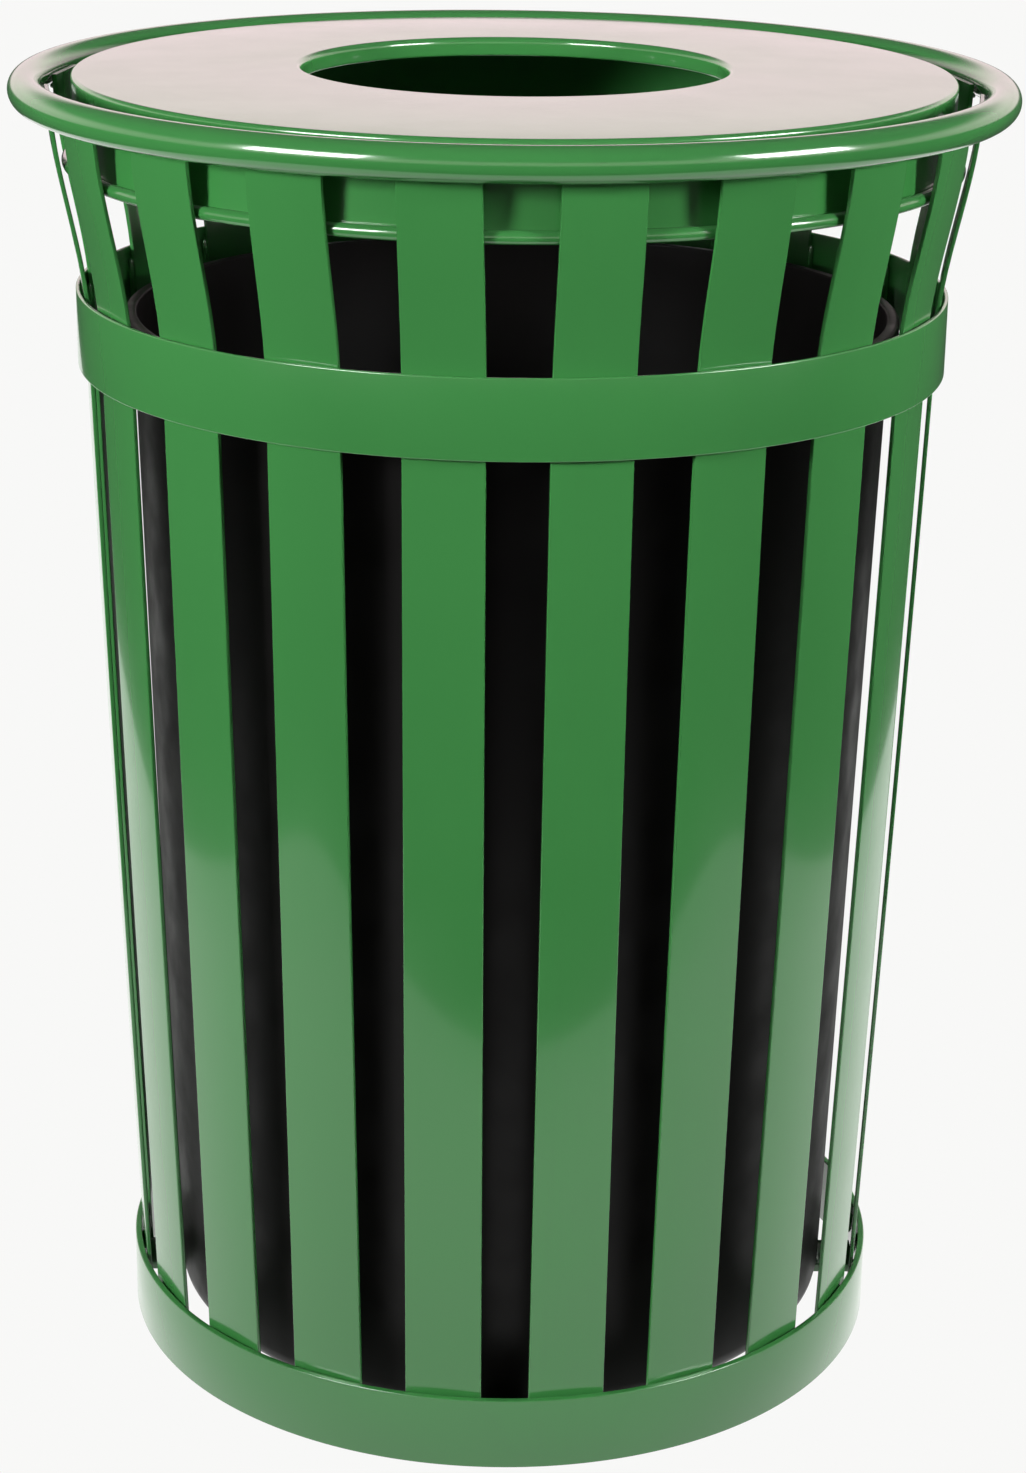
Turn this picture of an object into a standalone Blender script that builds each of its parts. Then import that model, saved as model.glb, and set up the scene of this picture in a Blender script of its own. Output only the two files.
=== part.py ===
"""Round slatted steel litter bin: a flared basket of flat bars, a lift-off lid and a loose plastic liner.

The bin stands on z = 0 with its axis on Z, and its front faces -Y.  All lengths are in metres.
Steel pieces that are welded together keep a 0.3 mm gap, so that every piece is a body of its own.
"""
from math import cos, hypot, pi, radians, sin, sqrt

import bmesh
import bpy

# Shared by all pieces
GAP = 0.0003                # space left between touching pieces
ROUND_STEPS = 60            # facets once round the bin
MERGE_DISTANCE = 0.00002

# Slats: twenty 2 in flat bars
SLAT_COUNT = 20
SLAT_WIDTH = 0.0508
SLAT_THICKNESS = 0.003
SLAT_BOTTOM = 0.0190
SLAT_TOP = 0.8780
SLAT_FOOT_RADIUS = 0.2600   # outer face, taken down to the ground
SLAT_LEAN = 0.0395          # outward slope at the ground
SLAT_CURVE = -0.0080        # a slight belly: the slope falls off with height
FLARE_START = 0.730
FLARE_END = 0.874
FLARE_REACH = 0.0175        # how far the flare carries the top out
BODY_STATIONS = 6
FLARE_STATIONS = 8

# Hoops: 2 in flat bar rolled on edge, outside the slats
HOOP_HEIGHT = 0.0508
BASE_HOOP_THICKNESS = 0.0045
MIDDLE_HOOP_THICKNESS = 0.0025
MIDDLE_HOOP_BOTTOM = 0.6970

# Top ring: 22 mm round tube
RING_OUTER_RADIUS = 0.330
RING_TUBE_RADIUS = 0.011
RING_HEIGHT = 0.8775
RING_SIDES = 12

# Cross of flat bars that carries the liner
BAR_WIDTH = 0.038
BAR_THICKNESS = 0.0064
BAR_BOTTOM = 0.0120
ANCHOR_HOLE_RADIUS = 0.0065
ANCHOR_HOLE_SIDES = 20

# Lid: spun from 1.5 mm sheet, with a round mouth and a bead rolled outward at the foot of its skirt
LID_TOP = 0.8905               # at the mouth
LID_CROWN = 0.0035             # the disc falls this much from the mouth to its edge
LID_RADIUS = 0.2894
LID_SHEET = 0.0015
LID_EDGE_RADIUS = 0.003
LID_BEAD_HEIGHT = 0.8312
LID_BEAD_RADIUS = 0.0044
MOUTH_RADIUS = 0.140
MOUTH_EDGE_RADIUS = 0.004
COLLAR_DEPTH = 0.0125
COLLAR_HEM_HEIGHT = 0.004

# Liner: tapered tub moulded in 3 mm plastic
LINER_BOTTOM_RADIUS = 0.2345
LINER_TAPER = 0.0270
LINER_CORNER_RADIUS = 0.016
LINER_CORNER_STEPS = 5
LINER_WALL = 0.003
LINER_HEIGHT = 0.7120
RIM_RADIUS = 0.2590
RIM_HEIGHT = 0.010

GREEN = (0.050, 0.270, 0.065, 1.0)
BLACK = (0.010, 0.009, 0.010, 1.0)


def painted(name, colour, roughness):
    """A Principled material for one kind of piece."""
    material = bpy.data.materials.new(name)
    material.use_nodes = True
    shader = material.node_tree.nodes["Principled BSDF"]
    shader.inputs["Base Color"].default_value = colour
    shader.inputs["Roughness"].default_value = roughness
    shader.inputs["Metallic"].default_value = 0.0
    return material


def add_object(name, mesh, parent):
    """Put a mesh in the scene under its body's empty."""
    thing = bpy.data.objects.new(name, mesh)
    bpy.context.collection.objects.link(thing)
    thing.parent = parent
    return thing


def add_body(name):
    """An empty on the bin's axis that carries the pieces of one body."""
    body = bpy.data.objects.new(name, None)
    bpy.context.collection.objects.link(body)
    return body


def finished_mesh(name, bm, material, sharp_angle):
    """Close up a bmesh with its faces pointing out."""
    bmesh.ops.remove_doubles(bm, verts=bm.verts, dist=MERGE_DISTANCE)
    bmesh.ops.recalc_face_normals(bm, faces=bm.faces)
    mesh = bpy.data.meshes.new(name)
    bm.to_mesh(mesh)
    bm.free()
    mesh.materials.append(material)
    mesh.shade_smooth()
    mesh.set_sharp_from_angle(angle=radians(sharp_angle))
    return mesh


def arc(centre_radius, centre_height, radius, start, end, steps):
    """Outline points along an arc, angles in degrees, both ends included."""
    angles = [radians(start + (end - start) * i / steps) for i in range(steps + 1)]
    return [(centre_radius + radius * cos(a), centre_height + radius * sin(a)) for a in angles]


def turned_piece(name, outline, closed, material, parent):
    """Spin an outline of (radius, height) points once round the bin's axis."""
    bm = bmesh.new()
    verts = [bm.verts.new((radius, 0.0, height)) for radius, height in outline]
    edges = [bm.edges.new(pair) for pair in zip(verts, verts[1:])]
    if closed:
        edges.append(bm.edges.new((verts[-1], verts[0])))
    bmesh.ops.spin(
        bm, geom=verts + edges, cent=(0, 0, 0), axis=(0, 0, 1), dvec=(0, 0, 0),
        angle=2 * pi, steps=ROUND_STEPS, use_merge=True, use_duplicate=False,
    )
    return add_object(name, finished_mesh(name, bm, material, 40), parent)


def slat_radius(height):
    """Radius of the middle of a slat's outer face: leaning out with a slight belly, then an S-shaped flare."""
    part = min(max((height - FLARE_START) / (FLARE_END - FLARE_START), 0.0), 1.0)
    flare = FLARE_REACH * (3 * part ** 2 - 2 * part ** 3)
    return SLAT_FOOT_RADIUS + SLAT_LEAN * height + SLAT_CURVE * height ** 2 + flare


def slat_edge_radius(height):
    """Radius of a slat's long outer edges, which stand further out than its middle."""
    return hypot(slat_radius(height), SLAT_WIDTH / 2)


def clear_of_slats(height):
    """Inner radius of a faceted hoop whose flats just clear the slats at one height."""
    return (slat_edge_radius(height) + GAP) / cos(pi / ROUND_STEPS)


def slat_heights():
    """Stations up a slat, closer together in the flare."""
    body = [SLAT_BOTTOM + (FLARE_START - SLAT_BOTTOM) * i / BODY_STATIONS for i in range(BODY_STATIONS)]
    flare = [FLARE_START + (SLAT_TOP - FLARE_START) * i / FLARE_STATIONS for i in range(FLARE_STATIONS + 1)]
    return body + flare


def slat_mesh(material):
    """One slat on the +X side: its side view as a strip, extruded to the slat's width."""
    bm = bmesh.new()
    rows = []
    for height in slat_heights():
        radius = slat_radius(height)
        outer = bm.verts.new((radius, -SLAT_WIDTH / 2, height))
        inner = bm.verts.new((radius - SLAT_THICKNESS, -SLAT_WIDTH / 2, height))
        rows.append((outer, inner))
    strip = [bm.faces.new((a[0], a[1], b[1], b[0])) for a, b in zip(rows, rows[1:])]
    extruded = bmesh.ops.extrude_face_region(bm, geom=strip, use_keep_orig=True)["geom"]
    moved = [item for item in extruded if isinstance(item, bmesh.types.BMVert)]
    bmesh.ops.translate(bm, verts=moved, vec=(0.0, SLAT_WIDTH, 0.0))
    return finished_mesh("slat", bm, material, 40)


def make_slats(frame):
    mesh = slat_mesh(painted("slat_paint", GREEN, 0.25))
    pitch = 360 / SLAT_COUNT
    for index in range(SLAT_COUNT):
        slat = add_object(f"slat_{index + 1:02d}", mesh, frame)
        slat.rotation_euler.z = radians(-90 + (index + 0.5) * pitch)


def hoop_outline(inner_radius, thickness, bottom):
    """A flat bar on edge."""
    outer_radius = inner_radius + thickness
    top = bottom + HOOP_HEIGHT
    return [(outer_radius, top), (outer_radius, bottom), (inner_radius, bottom), (inner_radius, top)]


def make_hoops(frame):
    paint = painted("hoop_paint", GREEN, 0.25)
    base_outline = hoop_outline(clear_of_slats(HOOP_HEIGHT), BASE_HOOP_THICKNESS, 0.0)
    turned_piece("base_hoop", base_outline, True, paint, frame)
    middle_inner = clear_of_slats(MIDDLE_HOOP_BOTTOM + HOOP_HEIGHT)
    middle_outline = hoop_outline(middle_inner, MIDDLE_HOOP_THICKNESS, MIDDLE_HOOP_BOTTOM)
    turned_piece("middle_hoop", middle_outline, True, paint, frame)


def make_top_ring(frame):
    centre = RING_OUTER_RADIUS - RING_TUBE_RADIUS
    outline = arc(centre, RING_HEIGHT, RING_TUBE_RADIUS, 0, -360, RING_SIDES)[:-1]
    turned_piece("top_ring", outline, True, painted("ring_paint", GREEN, 0.22), frame)


def bar_mesh(name, start, end, material):
    """A flat bar along X, from start to end."""
    bm = bmesh.new()
    bmesh.ops.create_cube(bm, size=1.0)
    bmesh.ops.scale(bm, verts=bm.verts, vec=(end - start, BAR_WIDTH, BAR_THICKNESS))
    middle = ((start + end) / 2, 0.0, BAR_BOTTOM + BAR_THICKNESS / 2)
    bmesh.ops.translate(bm, verts=bm.verts, vec=middle)
    return finished_mesh(name, bm, material, 40)


def anchor_cutter(frame):
    """The cylinder that drills the anchor hole through the middle of the long bar."""
    bm = bmesh.new()
    bmesh.ops.create_cone(
        bm, cap_ends=True, segments=ANCHOR_HOLE_SIDES, radius1=ANCHOR_HOLE_RADIUS,
        radius2=ANCHOR_HOLE_RADIUS, depth=4 * BAR_THICKNESS,
    )
    bmesh.ops.translate(bm, verts=bm.verts, vec=(0.0, 0.0, BAR_BOTTOM + BAR_THICKNESS / 2))
    mesh = bpy.data.meshes.new("anchor_cutter")
    bm.to_mesh(mesh)
    bm.free()
    cutter = add_object("anchor_cutter", mesh, frame)
    cutter.hide_render = True
    cutter.display_type = "WIRE"
    return cutter


def make_base_bars(frame):
    """One bar right across the base hoop, and two half bars that butt against its middle."""
    paint = painted("bar_paint", GREEN, 0.30)
    hoop_flat = clear_of_slats(HOOP_HEIGHT) * cos(pi / ROUND_STEPS)
    reach = sqrt((hoop_flat - GAP) ** 2 - (BAR_WIDTH / 2) ** 2)
    long_bar = add_object("base_bar_long", bar_mesh("base_bar_long", -reach, reach, paint), frame)
    drill = long_bar.modifiers.new("anchor_hole", "BOOLEAN")
    drill.operation = "DIFFERENCE"
    drill.object = anchor_cutter(frame)
    half_mesh = bar_mesh("base_bar_half", BAR_WIDTH / 2 + GAP, reach, paint)
    for name, turn in (("base_bar_front", -90), ("base_bar_back", 90)):
        half_bar = add_object(name, half_mesh, frame)
        half_bar.rotation_euler.z = radians(turn)


def lid_outline():
    """Outer face from the mouth to the bead, then back along the inner face."""
    edge_centre = (LID_RADIUS - LID_EDGE_RADIUS, LID_TOP - LID_CROWN - LID_EDGE_RADIUS)
    mouth_centre = (MOUTH_RADIUS + MOUTH_EDGE_RADIUS, LID_TOP - MOUTH_EDGE_RADIUS)
    bead_centre = LID_RADIUS - LID_SHEET + LID_BEAD_RADIUS
    collar_bottom = LID_TOP - COLLAR_DEPTH
    inner_skirt = LID_RADIUS - LID_SHEET
    outer = [(MOUTH_RADIUS, collar_bottom)]
    outer += arc(*mouth_centre, MOUTH_EDGE_RADIUS, 180, 90, 3)
    outer += arc(*edge_centre, LID_EDGE_RADIUS, 90, 0, 3)
    bead = arc(bead_centre, LID_BEAD_HEIGHT, LID_BEAD_RADIUS, 132, -180, 7)
    inner = arc(*edge_centre, LID_EDGE_RADIUS - LID_SHEET, 0, 90, 2)
    inner += arc(*mouth_centre, MOUTH_EDGE_RADIUS - LID_SHEET, 90, 180, 2)
    hem_radius = MOUTH_RADIUS + 2 * LID_SHEET
    hem_top = collar_bottom + COLLAR_HEM_HEIGHT
    hem = [(MOUTH_RADIUS + LID_SHEET, hem_top), (hem_radius, hem_top), (hem_radius, collar_bottom)]
    return outer + bead + inner + hem


def make_lid(lid):
    turned_piece("lid_shell", lid_outline(), True, painted("lid_paint", GREEN, 0.22), lid)


def liner_wall_radius(height_above_bottom):
    return LINER_BOTTOM_RADIUS + LINER_TAPER * height_above_bottom


def liner_outline():
    """Half section from the middle of the bottom, up the outside, over the rim and down the inside."""
    bottom = BAR_BOTTOM + BAR_THICKNESS + GAP
    top = bottom + LINER_HEIGHT
    rim_foot = LINER_HEIGHT - RIM_HEIGHT
    corner = (LINER_BOTTOM_RADIUS - LINER_CORNER_RADIUS, bottom + LINER_CORNER_RADIUS)
    outside = [(0.0, bottom)]
    outside += arc(*corner, LINER_CORNER_RADIUS, -90, 0, LINER_CORNER_STEPS)
    outside += [(liner_wall_radius(rim_foot), bottom + rim_foot), (RIM_RADIUS, bottom + rim_foot)]
    outside += [(RIM_RADIUS, top - LINER_WALL), (RIM_RADIUS - LINER_WALL, top)]
    inside = [(liner_wall_radius(LINER_HEIGHT) - LINER_WALL, top)]
    inside += arc(*corner, LINER_CORNER_RADIUS - LINER_WALL, 0, -90, LINER_CORNER_STEPS)
    inside += [(0.0, bottom + LINER_WALL)]
    return outside + inside


def make_liner(liner):
    turned_piece("liner_tub", liner_outline(), False, painted("liner_plastic", BLACK, 0.45), liner)


def main():
    for thing in list(bpy.data.objects):
        bpy.data.objects.remove(thing, do_unlink=True)
    frame = add_body("frame_body")
    liner = add_body("liner_body")
    lid = add_body("lid_body")
    liner.parent = frame
    lid.parent = liner
    make_slats(frame)
    make_hoops(frame)
    make_top_ring(frame)
    make_base_bars(frame)
    make_lid(lid)
    make_liner(liner)


main()
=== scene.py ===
"""Looks for the round slatted steel litter bin: fine meshes, gloss powder coat, camera and studio.

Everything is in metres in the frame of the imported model: the bin stands on z = 0 with its axis on Z,
and its front faces -Y.
"""
from math import cos, pi, radians, sin, sqrt, tan

import bmesh
import bpy
from mathutils import Matrix, Vector


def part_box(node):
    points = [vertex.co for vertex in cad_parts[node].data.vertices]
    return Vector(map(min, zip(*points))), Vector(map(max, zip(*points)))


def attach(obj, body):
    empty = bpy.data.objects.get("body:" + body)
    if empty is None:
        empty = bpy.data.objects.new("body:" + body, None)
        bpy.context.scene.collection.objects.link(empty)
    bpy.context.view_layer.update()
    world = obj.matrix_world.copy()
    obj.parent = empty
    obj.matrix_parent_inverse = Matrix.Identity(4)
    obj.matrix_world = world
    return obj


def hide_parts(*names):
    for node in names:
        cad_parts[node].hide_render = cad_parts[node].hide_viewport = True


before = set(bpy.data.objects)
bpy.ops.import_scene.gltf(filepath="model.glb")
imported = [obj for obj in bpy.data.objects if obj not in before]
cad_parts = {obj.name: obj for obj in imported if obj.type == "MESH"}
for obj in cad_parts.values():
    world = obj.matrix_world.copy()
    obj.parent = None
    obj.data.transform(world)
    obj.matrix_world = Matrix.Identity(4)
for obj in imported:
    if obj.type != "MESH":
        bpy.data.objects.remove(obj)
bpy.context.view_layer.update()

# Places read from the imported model
RING_LOW, RING_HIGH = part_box("top_ring")
LID_LOW, LID_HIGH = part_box("lid_shell")
LINER_LOW, LINER_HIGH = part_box("liner_tub")
BASE_LOW, BASE_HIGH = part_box("base_hoop")
BAND_LOW, BAND_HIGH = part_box("middle_hoop")
SLAT_LOW, SLAT_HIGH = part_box("slat_01")
BAR_LOW, BAR_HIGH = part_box("base_bar_long")

# Shared
ROUND_STEPS = 240
CORNER_STEPS = 4
MERGE_DISTANCE = 0.000005
COAT_EDGE = 0.0007          # paint rounds every sheared edge

# Slats, as in the model: leaning out with a slight belly, then an S-shaped flare
SLAT_COUNT = 20
SLAT_WIDTH = 0.0508
SLAT_THICKNESS = 0.003
SLAT_FOOT_RADIUS = 0.2600
SLAT_LEAN = 0.0395
SLAT_CURVE = -0.0080
FLARE_START = 0.730
FLARE_END = 0.874
FLARE_REACH = 0.0175
SLAT_STATIONS = 72
SLAT_END_BEVEL = 0.0004

# Hoops and ring
BASE_HOOP_THICKNESS = 0.0045
MIDDLE_HOOP_THICKNESS = 0.0025
RING_SIDES = 40

# Welds
WELD_ROWS = 26
WELD_SIDES = 10
RING_WELD_RADIUS = 0.0022
HOOP_WELD_RADIUS = 0.0018
HOOP_WELD_MARGIN = 0.008    # each hoop weld stops this far from the hoop's edges

# Base bars
BAR_GAP = 0.0003            # between the long bar and the short ones
ANCHOR_RADIUS = 0.0065
COUNTERSINK_RADIUS = 0.0078

# Lid sheet
LID_SHEET = 0.0015
LID_RADIUS = 0.2894
LID_CROWN = 0.0035          # the disc falls this much from the mouth to its edge
LID_EDGE_RADIUS = 0.003
LID_BEAD_RADIUS = 0.0044
MOUTH_RADIUS = 0.140
MOUTH_EDGE_RADIUS = 0.004
COLLAR_DEPTH = 0.0125
COLLAR_FOLD = 0.0045

# Liner
LINER_BOTTOM_RADIUS = 0.2345
LINER_TAPER = 0.0270
LINER_CORNER_RADIUS = 0.016
LINER_WALL = 0.003
RIM_HEIGHT = 0.010
PUSH_UP = 0.004             # the middle of the bottom stands this much above its heel
HEEL_WIDTH = 0.030
HEEL_SLOPE = 0.012

# Camera, fitted to the bin's edges
FOCAL_SHARE = 3236.7 / 1473      # focal length over the long side of the picture
SENSOR = 36.0
CAMERA_DISTANCE = 2.148
CAMERA_HEIGHT = 1.177
CAMERA_SIDE = radians(-1.0)
CAMERA_TURN = radians(-0.125)
CAMERA_PITCH = radians(19.32)
CAMERA_ROLL = 0.0138

# Studio
LIGHT_TARGET = Vector((0.0, 0.0, 0.85))
LIGHT_DISTANCE = 3.1
KEY_SPREAD = radians(90)    # keys and fills fade away from their aim, so the foot is darker
KEY_LEFT_POWER = 19
KEY_RIGHT_POWER = 16
FILL_POWER = 9
SOFTBOX_POWER = 105
FLOOR_SIZE = 4.0
FLOOR_SIDE = 1.11           # the white paper is a rounded sheet that reaches this far to each side,
FLOOR_FRONT = 0.84          # this far in front
FLOOR_BACK = 4.0            # and this far behind
FLOOR_CORNERS = 5.0         # 2 would make it an oval, more makes it squarer
FLOOR_FADE = 0.02           # its edge fades over this part of its reach either way
FLOOR_TURN = radians(3.5)
FLOOR_GLOW = 1.08
PAPER = (1.0, 1.0, 0.985)
BACKDROP = (0.939, 0.939, 0.930)
AMBIENT = (0.004, 0.004, 0.004)
SKY_STRENGTH = 1.45
SKY = [                     # sine of the height above the horizon, and the colour there
    (-1.0, (0.035, 0.035, 0.035)),
    (-0.02, (0.035, 0.035, 0.035)),
    (0.02, (0.80, 0.645, 0.675)),
    (0.13, (0.80, 0.645, 0.675)),
    (0.20, (0.92, 0.76, 0.78)),
    (0.26, (0.92, 0.76, 0.78)),
    (0.42, (0.07, 0.07, 0.07)),
    (1.0, (0.105, 0.105, 0.105)),
]
REAR_SLAT_Y = 0.15          # slats behind this are spared by the key lights

# Paint
GREEN_LIGHT = (0.056, 0.282, 0.068)
GREEN_DARK = (0.052, 0.268, 0.064)
BLACK_DARK = (0.0052, 0.0049, 0.0048)
BLACK_LIGHT = (0.0074, 0.0069, 0.0068)


# ---------------------------------------------------------------- outlines

def arc(centre_radius, centre_height, radius, start, end, steps):
    """Points along an arc, angles in degrees, both ends included."""
    angles = [radians(start + (end - start) * i / steps) for i in range(steps + 1)]
    return [(centre_radius + radius * cos(a), centre_height + radius * sin(a)) for a in angles]


def rounded(corners, closed=True):
    """Outline through (x, y, fillet radius) corners, with an arc at each one that has a radius."""
    points = []
    count = len(corners)
    for index, (x, y, radius) in enumerate(corners):
        here = Vector((x, y))
        at_end = not closed and index in (0, count - 1)
        if radius == 0 or at_end:
            points.append((x, y))
            continue
        back = (Vector(corners[index - 1][:2]) - here).normalized()
        ahead = (Vector(corners[(index + 1) % count][:2]) - here).normalized()
        half = back.angle(ahead) / 2
        centre = here + (back + ahead).normalized() * (radius / sin(half))
        first = here + back * (radius / tan(half)) - centre
        last = here + ahead * (radius / tan(half)) - centre
        for step in range(CORNER_STEPS + 1):
            spoke = first.slerp(last, step / CORNER_STEPS) * radius
            points.append(tuple(centre + spoke))
    return points


def sheet_outline(path, thickness):
    """Closed outline of a sheet of even thickness whose middle follows a path."""
    left, right = [], []
    for index, point in enumerate(path):
        before = Vector(path[max(index - 1, 0)])
        after = Vector(path[min(index + 1, len(path) - 1)])
        along = (after - before).normalized()
        across = Vector((-along.y, along.x)) * thickness / 2
        left.append(tuple(Vector(point) + across))
        right.append(tuple(Vector(point) - across))
    return left + right[::-1]


# ---------------------------------------------------------------- meshes

def new_object(name, bm, sharp_angle=35):
    """A smooth-shaded object from a bmesh, with its faces pointing out."""
    bmesh.ops.remove_doubles(bm, verts=bm.verts, dist=MERGE_DISTANCE)
    bmesh.ops.recalc_face_normals(bm, faces=bm.faces)
    mesh = bpy.data.meshes.new(name)
    bm.to_mesh(mesh)
    bm.free()
    mesh.shade_smooth()
    mesh.set_sharp_from_angle(angle=radians(sharp_angle))
    thing = bpy.data.objects.new(name, mesh)
    bpy.context.scene.collection.objects.link(thing)
    return thing


def turned(name, outline, closed=True):
    """Spin an outline of (radius, height) points once round the bin's axis."""
    bm = bmesh.new()
    loops = []
    for step in range(ROUND_STEPS):
        angle = 2 * pi * step / ROUND_STEPS
        across = (cos(angle), sin(angle))
        loops.append([bm.verts.new((r * across[0], r * across[1], h)) for r, h in outline])
    spans = len(outline) if closed else len(outline) - 1
    for step in range(ROUND_STEPS):
        here, there = loops[step], loops[(step + 1) % ROUND_STEPS]
        for index in range(spans):
            other = (index + 1) % len(outline)
            bm.faces.new((here[index], here[other], there[other], there[index]))
    bmesh.ops.dissolve_degenerate(bm, dist=MERGE_DISTANCE, edges=bm.edges)
    return new_object(name, bm)


def lofted(bm, sections):
    """Skin a row of closed sections, with a cap at each end."""
    rings = [[bm.verts.new(point) for point in section] for section in sections]
    count = len(rings[0])
    for here, there in zip(rings, rings[1:]):
        for index in range(count):
            other = (index + 1) % count
            bm.faces.new((here[index], here[other], there[other], there[index]))
    bm.faces.new(rings[0][::-1])
    bm.faces.new(rings[-1])


# ---------------------------------------------------------------- steel basket

def slat_radius(height):
    """Radius of the middle of a slat's outer face."""
    part = min(max((height - FLARE_START) / (FLARE_END - FLARE_START), 0.0), 1.0)
    flare = FLARE_REACH * (3 * part ** 2 - 2 * part ** 3)
    return SLAT_FOOT_RADIUS + SLAT_LEAN * height + SLAT_CURVE * height ** 2 + flare


def slat_angle(index):
    """Direction of a slat from the axis, slat 1 being just right of the front."""
    return radians(-90 + (index + 0.5) * 360 / SLAT_COUNT)


def slat_section(height, shrink):
    """A flat bar's section at one height, with rounded corners."""
    outer = slat_radius(height)
    half = SLAT_WIDTH / 2 - shrink
    inner = outer - SLAT_THICKNESS + shrink
    corners = [(outer - shrink, half), (inner, half), (inner, -half), (outer - shrink, -half)]
    outline = rounded([(x, y, COAT_EDGE) for x, y in corners])
    return [(x, y, height) for x, y in outline]


def make_slats(paint):
    """Twenty flat bars that share one mesh. Returns them all."""
    low, high = SLAT_LOW.z, SLAT_HIGH.z
    heights = [low + (high - low) * i / SLAT_STATIONS for i in range(1, SLAT_STATIONS)]
    heights = [low + SLAT_END_BEVEL, *heights, high - SLAT_END_BEVEL]
    sections = [slat_section(height, 0.0) for height in heights]
    bm = bmesh.new()
    lofted(bm, [slat_section(low, SLAT_END_BEVEL), *sections, slat_section(high, SLAT_END_BEVEL)])
    first = new_object("flat_bar_01", bm)
    first.data.materials.append(paint)
    bars = []
    for index in range(SLAT_COUNT):
        name = f"flat_bar_{index + 1:02d}"
        bar = first if index == 0 else bpy.data.objects.new(name, first.data)
        if index:
            bpy.context.scene.collection.objects.link(bar)
        bar.rotation_euler.z = slat_angle(index)
        keep(bar, "basket", f"slat_{index + 1:02d}")
        bars.append(bar)
    return bars


def hoop(name, low, high, thickness, node, paint):
    """Flat bar rolled on edge, with paint-rounded edges."""
    outer = high.x
    inner = outer - thickness
    edge = min(COAT_EDGE * 1.3, thickness * 0.4)
    corners = [(outer, high.z), (outer, low.z), (inner, low.z), (inner, high.z)]
    band = turned(name, rounded([(r, h, edge) for r, h in corners]))
    band.data.materials.append(paint)
    keep(band, "basket", node)


def make_ring(paint):
    tube = (RING_HIGH.z - RING_LOW.z) / 2
    centre = RING_HIGH.x - tube
    outline = arc(centre, RING_LOW.z + tube, tube, 0, -360, RING_SIDES)[:-1]
    ring = turned("ring_tube", outline)
    ring.data.materials.append(paint)
    keep(ring, "basket", "top_ring")


def bead(bm, start, end, radius):
    """A weld bead: a low rounded run with the ripples of its puddles."""
    start, end = Vector(start), Vector(end)
    along = (end - start).normalized()
    side = along.orthogonal().normalized()
    up = along.cross(side)
    turns = [2 * pi * k / WELD_SIDES for k in range(WELD_SIDES)]
    sections = []
    for row in range(WELD_ROWS + 1):
        t = row / WELD_ROWS
        taper = sqrt(max(1 - abs(2 * t - 1) ** 6, 0.02))
        size = radius * taper * (1 + 0.09 * sin(row * 2.4))
        middle = start.lerp(end, t)
        sections.append([middle + side * cos(turn) * size + up * sin(turn) * size for turn in turns])
    lofted(bm, sections)


def at(angle, radius, sideways, height):
    """A point given from the axis: out along an angle, and sideways from it."""
    return (
        radius * cos(angle) - sideways * sin(angle),
        radius * sin(angle) + sideways * cos(angle),
        height,
    )


def make_welds(paint):
    """Fillet welds where the slats meet the ring and both hoops."""
    bm = bmesh.new()
    tube = (RING_HIGH.z - RING_LOW.z) / 2
    notch_height = RING_LOW.z + tube * 0.26
    edge = SLAT_WIDTH / 2
    radius = slat_radius(notch_height) + RING_WELD_RADIUS
    for index in range(SLAT_COUNT):
        angle = slat_angle(index)
        ends = [at(angle, radius, side * edge * 0.8, notch_height) for side in (-1, 1)]
        bead(bm, *ends, RING_WELD_RADIUS)
        for low, high in ((BASE_LOW, BASE_HIGH), (BAND_LOW, BAND_HIGH)):
            heights = (max(low.z, SLAT_LOW.z) + HOOP_WELD_MARGIN, high.z - HOOP_WELD_MARGIN)
            for side in (-1, 1):
                ends = [at(angle, slat_radius(h) - 0.0006, side * (edge + 0.0008), h) for h in heights]
                bead(bm, *ends, HOOP_WELD_RADIUS)
    welds = new_object("slat_welds", bm)
    welds.data.materials.append(paint)
    keep(welds, "basket")


def bar_object(name, start, end, node, turn, paint):
    """A flat bar lying along X from start to end, with rounded edges."""
    bm = bmesh.new()
    half = BAR_HIGH.y
    corners = [(-half, BAR_LOW.z), (half, BAR_LOW.z), (half, BAR_HIGH.z), (-half, BAR_HIGH.z)]
    outline = rounded([(y, z, COAT_EDGE) for y, z in corners])
    lofted(bm, [[(x, y, z) for y, z in outline] for x in (start, end)])
    bar = new_object(name, bm)
    bar.data.materials.append(paint)
    bar.rotation_euler.z = radians(turn)
    keep(bar, "basket", node)
    return bar


def drill_anchor_hole(bar):
    """The countersunk hole for the ground anchor, through the middle of the long bar."""
    bm = bmesh.new()
    thickness = BAR_HIGH.z - BAR_LOW.z
    levels = [
        (-0.01, ANCHOR_RADIUS),
        (thickness * 0.8, ANCHOR_RADIUS),
        (thickness + 0.0001, COUNTERSINK_RADIUS),
        (0.02, COUNTERSINK_RADIUS),
    ]
    sections = [
        [(r * cos(2 * pi * k / 64), r * sin(2 * pi * k / 64), BAR_LOW.z + z) for k in range(64)]
        for z, r in levels
    ]
    lofted(bm, sections)
    cutter = new_object("anchor_cutter", bm)
    modifier = bar.modifiers.new("anchor_hole", "BOOLEAN")
    modifier.operation = "DIFFERENCE"
    modifier.object = cutter
    graph = bpy.context.evaluated_depsgraph_get()
    drilled = bpy.data.meshes.new_from_object(bar.evaluated_get(graph))
    bar.modifiers.clear()
    bar.data = drilled
    bpy.data.objects.remove(cutter)


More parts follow.
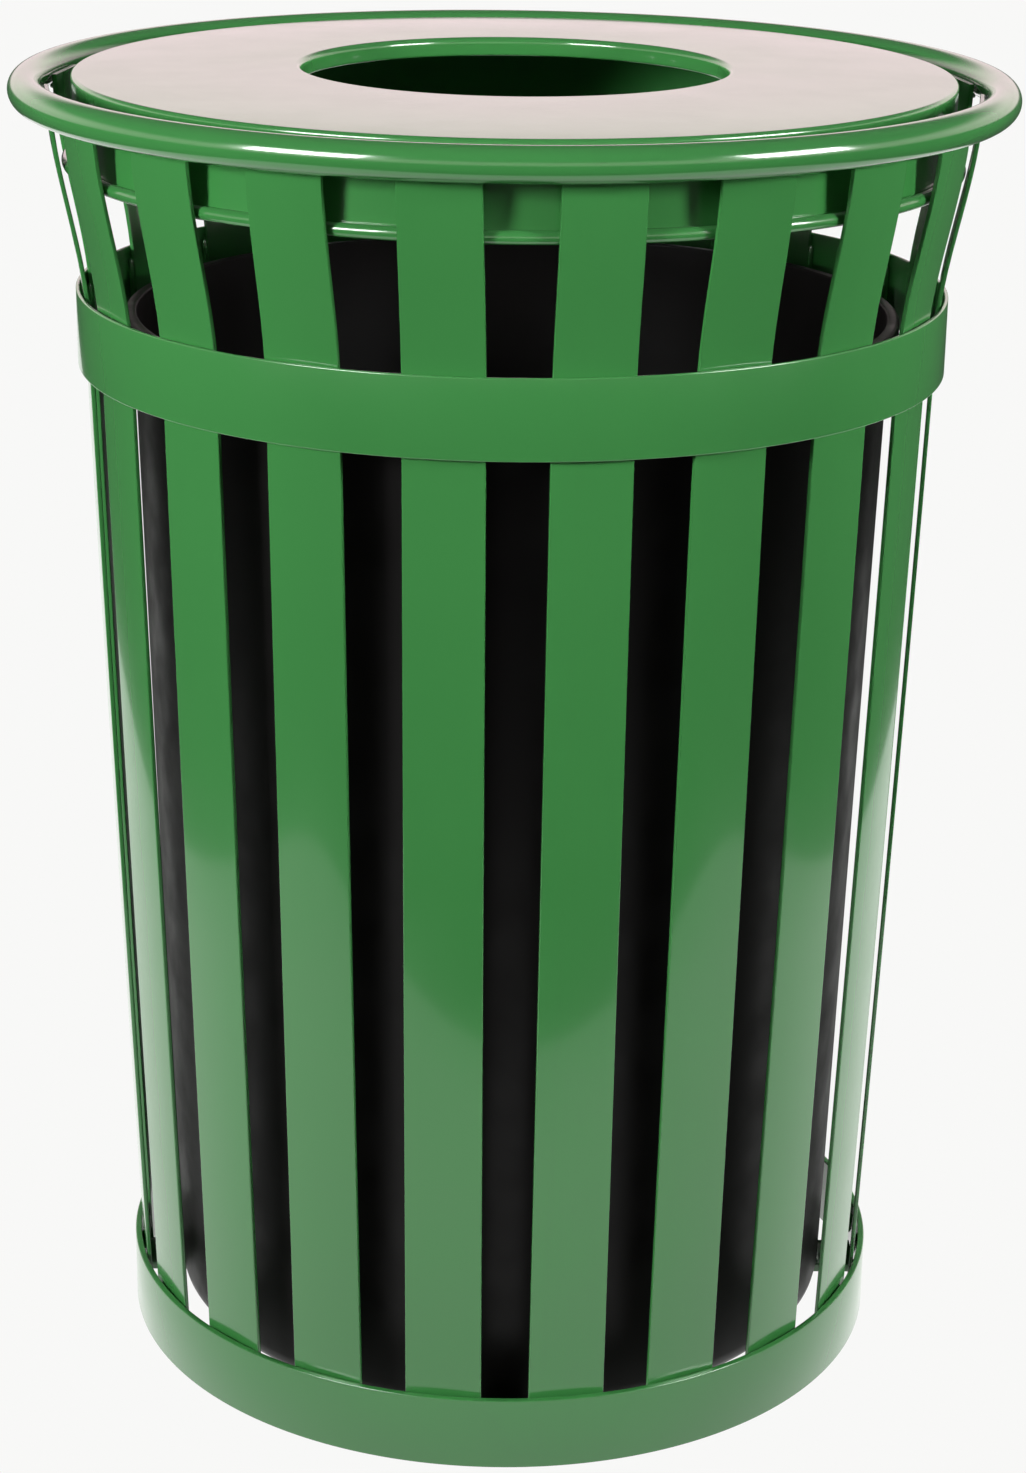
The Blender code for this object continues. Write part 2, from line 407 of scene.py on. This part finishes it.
def make_base_bars(paint):
    long_bar = bar_object("cross_bar_long", BAR_LOW.x, BAR_HIGH.x, "base_bar_long", 0, paint)
    drill_anchor_hole(long_bar)
    start = BAR_HIGH.y + BAR_GAP
    bar_object("cross_bar_front", start, BAR_HIGH.x, "base_bar_front", -90, paint)
    bar_object("cross_bar_back", start, BAR_HIGH.x, "base_bar_back", 90, paint)


# ---------------------------------------------------------------- lid and liner

def lid_path():
    """Middle of the lid's sheet: hem under the mouth, collar, disc, skirt, and the bead rolled outward."""
    half = LID_SHEET / 2
    top = LID_HIGH.z
    fold = half + 0.0002
    collar = MOUTH_RADIUS + half
    fold_height = top - COLLAR_DEPTH + half + fold
    path = [(collar + 2 * fold, fold_height + COLLAR_FOLD)]
    path += arc(collar + fold, fold_height, fold, 0, -180, 8)
    mouth = MOUTH_EDGE_RADIUS - half
    path += arc(MOUTH_RADIUS + MOUTH_EDGE_RADIUS, top - MOUTH_EDGE_RADIUS, mouth, 180, 90, 8)
    rim = LID_EDGE_RADIUS - half
    path += arc(LID_RADIUS - LID_EDGE_RADIUS, top - LID_CROWN - LID_EDGE_RADIUS, rim, 90, 0, 10)
    bead_height = LID_LOW.z + LID_BEAD_RADIUS
    bead_centre = LID_RADIUS - LID_SHEET + LID_BEAD_RADIUS
    path += arc(bead_centre, bead_height, LID_BEAD_RADIUS - half, 180, 480, 22)
    return path


def make_lid(paint):
    lid = turned("lid_spun", sheet_outline(lid_path(), LID_SHEET))
    lid.data.materials.append(paint)
    keep(lid, "lid", "lid_shell")


def liner_outline():
    """Half section: underside with a shallow push-up, wall, rolled rim, and the inside."""
    bottom, top = LINER_LOW.z, LINER_HIGH.z
    height = top - bottom
    rim_foot = height - RIM_HEIGHT
    rim = LINER_HIGH.x
    wall_top = LINER_BOTTOM_RADIUS + LINER_TAPER * height
    wall_foot = LINER_BOTTOM_RADIUS + LINER_TAPER * rim_foot
    heel = LINER_BOTTOM_RADIUS - HEEL_WIDTH
    corners = [
        (0.0, bottom + PUSH_UP, 0),
        (heel - HEEL_SLOPE, bottom + PUSH_UP, 0.006),
        (heel, bottom, 0.006),
        (LINER_BOTTOM_RADIUS, bottom, LINER_CORNER_RADIUS),
        (wall_foot, bottom + rim_foot, 0.0012),
        (rim, bottom + rim_foot, 0.0010),
        (rim, top, 0.0026),
        (wall_top - LINER_WALL, top, 0.0012),
        (LINER_BOTTOM_RADIUS - LINER_WALL, bottom + LINER_WALL, LINER_CORNER_RADIUS - LINER_WALL),
        (heel, bottom + LINER_WALL, 0.006),
        (heel - HEEL_SLOPE, bottom + LINER_WALL + PUSH_UP, 0.006),
        (0.0, bottom + LINER_WALL + PUSH_UP, 0),
    ]
    return rounded(corners, closed=False)


def make_liner(plastic):
    tub = turned("liner_moulding", liner_outline(), closed=False)
    tub.data.materials.append(plastic)
    keep(tub, "liner", "liner_tub")


def keep(piece, body, node=None):
    """Hand a piece over to the frame: its body, and hide the CAD node it stands for."""
    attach(piece, body)
    if node:
        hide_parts(node)


# ---------------------------------------------------------------- materials

def new_material(name):
    """A node material: its nodes, its links and its shader come with it."""
    material = bpy.data.materials.new(name)
    material.use_nodes = True
    nodes = material.node_tree.nodes
    return material, nodes, material.node_tree.links, nodes["Principled BSDF"]


def noise(nodes, links, coordinates, scale, detail):
    """A noise texture on the object's own coordinates."""
    texture = nodes.new("ShaderNodeTexNoise")
    texture.inputs["Scale"].default_value = scale
    texture.inputs["Detail"].default_value = detail
    links.new(coordinates.outputs["Object"], texture.inputs["Vector"])
    return texture


def ramp_between(nodes, links, source, low, high):
    """Map a noise value from its middle range to low..high."""
    remap = nodes.new("ShaderNodeMapRange")
    remap.interpolation_type = "SMOOTHSTEP"
    remap.inputs["From Min"].default_value = 0.2
    remap.inputs["From Max"].default_value = 0.8
    remap.inputs["To Min"].default_value = low
    remap.inputs["To Max"].default_value = high
    links.new(source.outputs["Fac"], remap.inputs["Value"])
    return remap


def mixed_colour(nodes, links, source, first, second):
    """Mix two colours by a value from 0 to 1."""
    blend = nodes.new("ShaderNodeMix")
    blend.data_type = "RGBA"
    blend.inputs[6].default_value = (*first, 1.0)
    blend.inputs[7].default_value = (*second, 1.0)
    links.new(source.outputs[0], blend.inputs[0])
    return blend


def bumped(nodes, links, source, strength, distance):
    """Relief from a noise texture."""
    bump = nodes.new("ShaderNodeBump")
    bump.inputs["Strength"].default_value = strength
    bump.inputs["Distance"].default_value = distance
    links.new(source.outputs["Fac"], bump.inputs["Height"])
    return bump


def powder_coat(name, light, dark, roughness):
    """Gloss powder coat: two close greens in soft clouds, a clear top, orange peel over slight waves."""
    material, nodes, links, shader = new_material(name)
    coordinates = nodes.new("ShaderNodeTexCoord")
    clouds = ramp_between(nodes, links, noise(nodes, links, coordinates, 7.0, 3.0), 0.0, 1.0)
    colour = mixed_colour(nodes, links, clouds, light, dark)
    links.new(colour.outputs[2], shader.inputs["Base Color"])
    fine = noise(nodes, links, coordinates, 22.0, 4.0)
    satin = ramp_between(nodes, links, fine, roughness * 0.85, roughness * 1.2)
    links.new(satin.outputs[0], shader.inputs["Roughness"])
    waves = bumped(nodes, links, noise(nodes, links, coordinates, 11.0, 1.0), 0.12, 0.0005)
    peel = bumped(nodes, links, noise(nodes, links, coordinates, 420.0, 2.0), 0.03, 0.0002)
    links.new(waves.outputs["Normal"], peel.inputs["Normal"])
    links.new(peel.outputs["Normal"], shader.inputs["Normal"])
    links.new(peel.outputs["Normal"], shader.inputs["Coat Normal"])
    shader.inputs["Coat Weight"].default_value = 0.62
    shader.inputs["Coat Roughness"].default_value = 0.06
    shader.inputs["Coat IOR"].default_value = 1.5
    shader.inputs["IOR"].default_value = 1.5
    return material


def moulded_plastic(name):
    """Black polyethylene: a fine mould grain, and soft clouds in its black and its sheen."""
    material, nodes, links, shader = new_material(name)
    coordinates = nodes.new("ShaderNodeTexCoord")
    clouds = ramp_between(nodes, links, noise(nodes, links, coordinates, 9.0, 5.0), 0.0, 1.0)
    colour = mixed_colour(nodes, links, clouds, BLACK_DARK, BLACK_LIGHT)
    links.new(colour.outputs[2], shader.inputs["Base Color"])
    satin = ramp_between(nodes, links, noise(nodes, links, coordinates, 30.0, 6.0), 0.34, 0.50)
    links.new(satin.outputs[0], shader.inputs["Roughness"])
    shader.inputs["Specular IOR Level"].default_value = 0.15
    grain = bumped(nodes, links, noise(nodes, links, coordinates, 900.0, 3.0), 0.2, 0.0002)
    links.new(grain.outputs["Normal"], shader.inputs["Normal"])
    return material


# ---------------------------------------------------------------- studio

def make_camera():
    """Camera in front of the bin and above it, looking down, with no shift."""
    data = bpy.data.cameras.new("camera")
    data.sensor_width = SENSOR
    data.lens = SENSOR * FOCAL_SHARE
    data.clip_start = 0.05
    camera = bpy.data.objects.new("camera", data)
    bpy.context.scene.collection.objects.link(camera)
    place = Vector((CAMERA_DISTANCE * sin(CAMERA_SIDE), -CAMERA_DISTANCE * cos(CAMERA_SIDE), CAMERA_HEIGHT))
    heading = Matrix.Rotation(CAMERA_SIDE + CAMERA_TURN, 4, "Z")
    tilt = Matrix.Rotation(pi / 2 - CAMERA_PITCH, 4, "X")
    roll = Matrix.Rotation(CAMERA_ROLL, 4, "Z")
    camera.matrix_world = Matrix.Translation(place) @ heading @ tilt @ roll
    bpy.context.scene.camera = camera


def area_light(name, azimuth, elevation, width, height, power, mirrored):
    """A light aimed at the bin; azimuth 0 is in front of it, positive to the right.

    A mirrored light only shows as a reflection; the others only light the surfaces.
    """
    data = bpy.data.lights.new(name, "AREA")
    data.shape = "RECTANGLE"
    data.size = width
    data.size_y = height
    data.energy = power
    if not mirrored:
        data.spread = KEY_SPREAD
    light = bpy.data.objects.new(name, data)
    bpy.context.scene.collection.objects.link(light)
    a, e = radians(azimuth), radians(elevation)
    direction = Vector((sin(a) * cos(e), -cos(a) * cos(e), sin(e)))
    light.location = LIGHT_TARGET + direction * LIGHT_DISTANCE
    light.rotation_mode = "QUATERNION"
    light.rotation_quaternion = direction.to_track_quat("Z", "Y")
    light.visible_diffuse = not mirrored
    light.visible_glossy = mirrored
    return light


def spare(light, pieces):
    """Keep a light off these pieces, and on everything else."""
    spared = bpy.data.collections.new(light.name + "_spares")
    for piece in pieces:
        spared.objects.link(piece)
    for member in spared.collection_objects:
        member.light_linking.link_state = "EXCLUDE"
    light.light_linking.receiver_collection = spared


def edge_fade(nodes, links, value, start, end):
    """A smooth step, 0 where the value is start and 1 where it is end."""
    fade = nodes.new("ShaderNodeMapRange")
    fade.interpolation_type = "SMOOTHSTEP"
    fade.inputs["From Min"].default_value = start
    fade.inputs["From Max"].default_value = end
    links.new(value, fade.inputs["Value"])
    return fade.outputs[0]


def math_node(nodes, links, operation, *values):
    """A sum on numbers or other nodes' outputs."""
    node = nodes.new("ShaderNodeMath")
    node.operation = operation
    for value, socket in zip(values, node.inputs):
        if isinstance(value, float):
            socket.default_value = value
        else:
            links.new(value, socket)
    return node.outputs[0]


def floor_sheet(name, colour, glow):
    """A flat sheet under the bin that glows evenly and lights nothing."""
    bm = bmesh.new()
    bmesh.ops.create_grid(bm, x_segments=1, y_segments=1, size=FLOOR_SIZE)
    sheet = new_object(name, bm)
    material, nodes, links, shader = new_material(name)
    shader.inputs["Base Color"].default_value = (0.0, 0.0, 0.0, 1.0)
    shader.inputs["Roughness"].default_value = 1.0
    shader.inputs["Specular IOR Level"].default_value = 0.0
    shader.inputs["Emission Color"].default_value = (*colour, 1.0)
    shader.inputs["Emission Strength"].default_value = glow
    sheet.data.materials.append(material)
    sheet.visible_diffuse = False
    return sheet, nodes, links, shader


def make_floor():
    """A pale floor for the camera, and for reflections a sheet of white paper with soft edges."""
    floor = floor_sheet("floor", BACKDROP, 1.0)[0]
    floor.visible_glossy = False
    paper, nodes, links, shader = floor_sheet("paper", PAPER, FLOOR_GLOW)
    coordinates = nodes.new("ShaderNodeTexCoord")
    split = nodes.new("ShaderNodeSeparateXYZ")
    links.new(coordinates.outputs["Object"], split.inputs[0])
    sideways = math_node(nodes, links, "ABSOLUTE", split.outputs["X"])
    across = math_node(nodes, links, "DIVIDE", sideways, FLOOR_SIDE)
    forward = math_node(nodes, links, "DIVIDE", split.outputs["Y"], -FLOOR_FRONT)
    backward = math_node(nodes, links, "DIVIDE", split.outputs["Y"], FLOOR_BACK)
    along = math_node(nodes, links, "MAXIMUM", forward, backward)
    powers = [math_node(nodes, links, "POWER", part, FLOOR_CORNERS) for part in (across, along)]
    total = math_node(nodes, links, "ADD", *powers)
    reach = math_node(nodes, links, "POWER", total, 1 / FLOOR_CORNERS)
    edge = edge_fade(nodes, links, reach, 1 + FLOOR_FADE, 1 - FLOOR_FADE)
    links.new(edge, shader.inputs["Alpha"])
    paper.rotation_euler.z = FLOOR_TURN
    paper.visible_camera = False


def plain_background(nodes, colour):
    """One even colour all round."""
    background = nodes.new("ShaderNodeBackground")
    background.inputs["Color"].default_value = (*colour, 1.0)
    return background


def make_world():
    """White to look at; for reflections, dim but for a pale rose band above the horizon."""
    world = bpy.data.worlds.new("studio")
    bpy.context.scene.world = world
    world.use_nodes = True
    nodes, links = world.node_tree.nodes, world.node_tree.links
    nodes.clear()
    output = nodes.new("ShaderNodeOutputWorld")
    coordinates = nodes.new("ShaderNodeTexCoord")
    split = nodes.new("ShaderNodeSeparateXYZ")
    links.new(coordinates.outputs["Generated"], split.inputs[0])
    ramp = nodes.new("ShaderNodeValToRGB")
    elements = ramp.color_ramp.elements
    while len(elements) < len(SKY):
        elements.new(0.5)
    for element, (height, colour) in zip(elements, SKY):
        element.position = (height + 1) / 2
        element.color = (*colour, 1.0)
    remap = nodes.new("ShaderNodeMapRange")
    remap.inputs["From Min"].default_value = -1.0
    remap.inputs["From Max"].default_value = 1.0
    links.new(split.outputs["Z"], remap.inputs["Value"])
    links.new(remap.outputs[0], ramp.inputs["Fac"])
    ray = nodes.new("ShaderNodeLightPath")
    mirrored = nodes.new("ShaderNodeBackground")
    mirrored.inputs["Strength"].default_value = SKY_STRENGTH
    links.new(ramp.outputs["Color"], mirrored.inputs["Color"])
    ambient = plain_background(nodes, AMBIENT)
    seen = plain_background(nodes, BACKDROP)
    first = nodes.new("ShaderNodeMixShader")
    links.new(ray.outputs["Is Diffuse Ray"], first.inputs["Fac"])
    links.new(mirrored.outputs[0], first.inputs[1])
    links.new(ambient.outputs[0], first.inputs[2])
    second = nodes.new("ShaderNodeMixShader")
    links.new(ray.outputs["Is Camera Ray"], second.inputs["Fac"])
    links.new(first.outputs[0], second.inputs[1])
    links.new(seen.outputs[0], second.inputs[2])
    links.new(second.outputs[0], output.inputs["Surface"])


def make_studio(rear_slats):
    """Two keys in front, two fills behind, and two softboxes that only show as highlights.

    The keys are kept off the rear slats, whose inner faces would be too bright through the gaps.
    """
    key_left = area_light("key_left", -48, 12, 0.6, 0.6, KEY_LEFT_POWER, False)
    key_right = area_light("key_right", 62, 12, 0.6, 0.6, KEY_RIGHT_POWER, False)
    for key in (key_left, key_right):
        spare(key, rear_slats)
    area_light("fill_left", -140, 14, 1.2, 1.2, FILL_POWER, False)
    area_light("fill_right", 140, 14, 1.2, 1.2, FILL_POWER, False)
    area_light("softbox_left", -46, 20, 1.4, 1.0, SOFTBOX_POWER, True)
    area_light("softbox_right", 62, 20, 1.35, 1.0, SOFTBOX_POWER, True)
    make_world()
    make_floor()
    bpy.context.scene.view_settings.view_transform = "Standard"


# ---------------------------------------------------------------- assembly

slat_paint = powder_coat("slat_paint", GREEN_LIGHT, GREEN_DARK, 0.22)
hoop_paint = powder_coat("hoop_paint", GREEN_LIGHT, GREEN_DARK, 0.22)
ring_paint = powder_coat("ring_paint", GREEN_LIGHT, GREEN_DARK, 0.16)
bar_paint = powder_coat("bar_paint", GREEN_LIGHT, GREEN_DARK, 0.34)
lid_paint = powder_coat("lid_paint", GREEN_LIGHT, GREEN_DARK, 0.16)

make_camera()
bars = make_slats(slat_paint)
hoop("base_band", BASE_LOW, BASE_HIGH, BASE_HOOP_THICKNESS, "base_hoop", hoop_paint)
hoop("middle_band", BAND_LOW, BAND_HIGH, MIDDLE_HOOP_THICKNESS, "middle_hoop", hoop_paint)
make_ring(ring_paint)
make_welds(hoop_paint)
make_base_bars(bar_paint)
make_lid(lid_paint)
make_liner(moulded_plastic("liner_plastic"))
make_studio([bar for bar in bars if (bar.matrix_basis @ bar.data.vertices[0].co).y > REAR_SLAT_Y])
